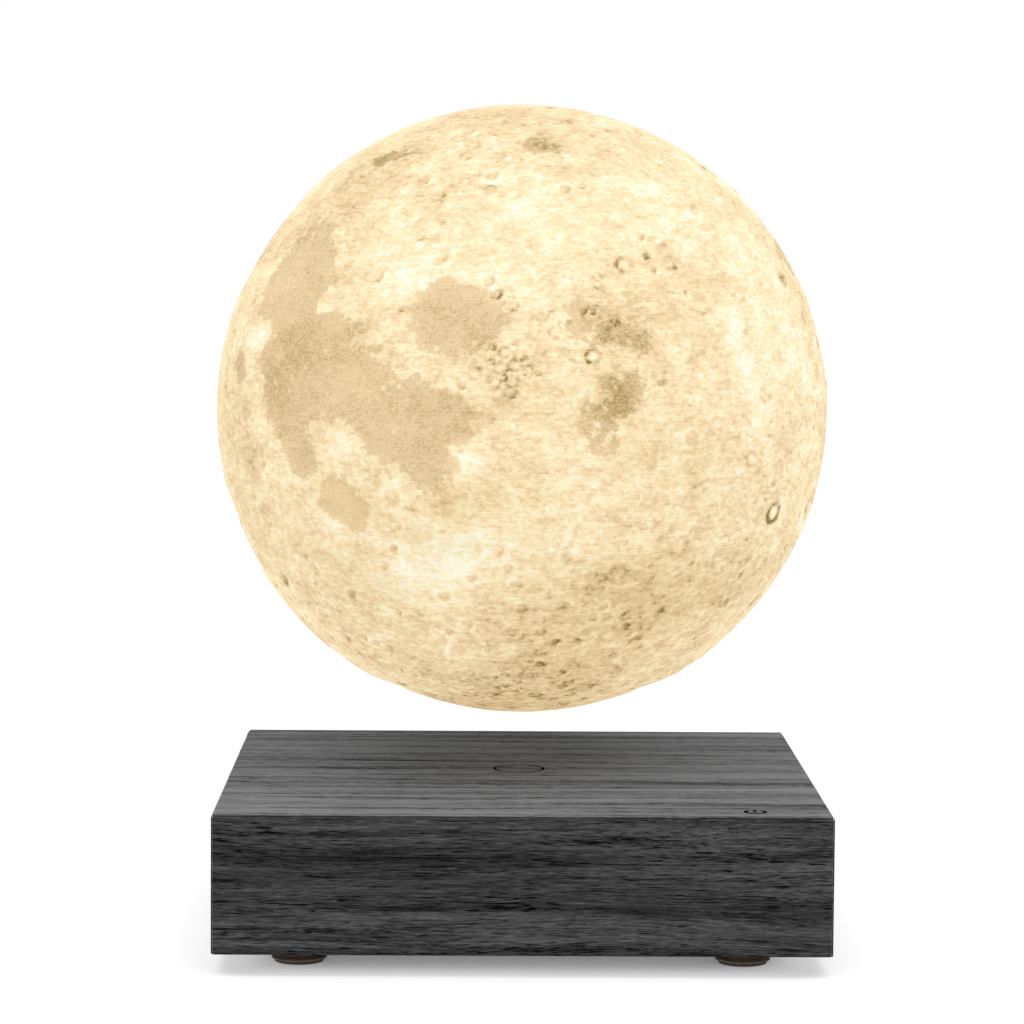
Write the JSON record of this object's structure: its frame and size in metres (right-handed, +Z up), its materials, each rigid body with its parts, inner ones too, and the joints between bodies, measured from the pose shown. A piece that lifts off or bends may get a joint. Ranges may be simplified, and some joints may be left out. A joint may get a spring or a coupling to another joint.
{
  "type": "levitating moon lamp",
  "caption": "Lit printed moon that floats, turns and lifts off above a square black wooden levitation base on stepped rubber feet.",
  "frame": {"origin": "on the floor under the middle of the box", "axes": "+Z up through the middle of the moon, -Y towards the front (the side whose top edge has the power symbol), +X to the right"},
  "size_m": [0.147, 0.1468, 0.1977],
  "materials": {
    "black_veneer": "satin",
    "black_moulding": "satin",
    "pine_block": "matte",
    "brown_rubber": "matte",
    "zinc_screw": "satin",
    "ferrite": "matte",
    "soft_iron": "satin",
    "white_nylon": "satin",
    "enamelled_copper": "gloss",
    "green_board": "satin",
    "white_board": "satin",
    "nickel": "gloss",
    "capacitor_can": "satin",
    "red_lead": "satin",
    "printed_moon": "matte"
  },
  "bodies": {
    "base": {"top_panel": "black_veneer", "front_wall": "black_veneer", "back_wall": "black_veneer", "left_wall": "black_veneer", "right_wall": "black_veneer", "bottom_plate": "black_moulding", "module_tray": "black_moulding", "power_jack": "black_moulding", "corner_block_front_right": "pine_block", "corner_block_back_right": "pine_block", "corner_block_back_left": "pine_block", "corner_block_front_left": "pine_block", "foot_front_right": "brown_rubber", "foot_back_right": "brown_rubber", "foot_back_left": "brown_rubber", "foot_front_left": "brown_rubber", "foot_screw_front_right": "zinc_screw", "foot_screw_back_right": "zinc_screw", "foot_screw_back_left": "zinc_screw", "foot_screw_front_left": "zinc_screw", "tray_screw_1": "zinc_screw", "tray_screw_2": "zinc_screw", "tray_screw_3": "zinc_screw", "tray_screw_4": "zinc_screw", "ring_magnet": "ferrite", "coil_core_1": "soft_iron", "coil_core_2": "soft_iron", "coil_core_3": "soft_iron", "coil_core_4": "soft_iron", "coil_bobbin_1": "white_nylon", "coil_bobbin_2": "white_nylon", "coil_bobbin_3": "white_nylon", "coil_bobbin_4": "white_nylon", "coil_winding_1": "enamelled_copper", "coil_winding_2": "enamelled_copper", "coil_winding_3": "enamelled_copper", "coil_winding_4": "enamelled_copper", "transmit_coil": "enamelled_copper", "sensor_board": "green_board", "control_board": "green_board", "touch_board": "green_board", "power_jack_pin": "nickel", "capacitor_1": "capacitor_can", "capacitor_2": "capacitor_can", "transmit_lead": "red_lead", "touch_lead": "red_lead", "sensor_lead": "red_lead"},
    "float": {"float_magnet": "nickel"},
    "moon": {"moon_shell": "printed_moon", "bottom_cap": "printed_moon", "carrier_plate": "white_nylon", "carrier_screw_1": "zinc_screw", "carrier_screw_2": "zinc_screw", "carrier_screw_3": "zinc_screw", "receiver_coil": "enamelled_copper", "receiver_board": "green_board", "receiver_lead": "red_lead", "light_post": "white_nylon", "light_board": "white_board"}
  },
  "joints": [
    {"name": "hover", "type": "slide", "parent": "base", "child": "float", "axis": [0, 0, 1], "range_m": [-0.0154, 0.06], "stiffness_N_per_m": 90, "springref_m": 0.02629},
    {"name": "spin", "type": "hinge", "parent": "float", "child": "moon", "pos_m": [0, 0, 0.1243], "axis": [0, 0, 1], "continuous": true}
  ]
}
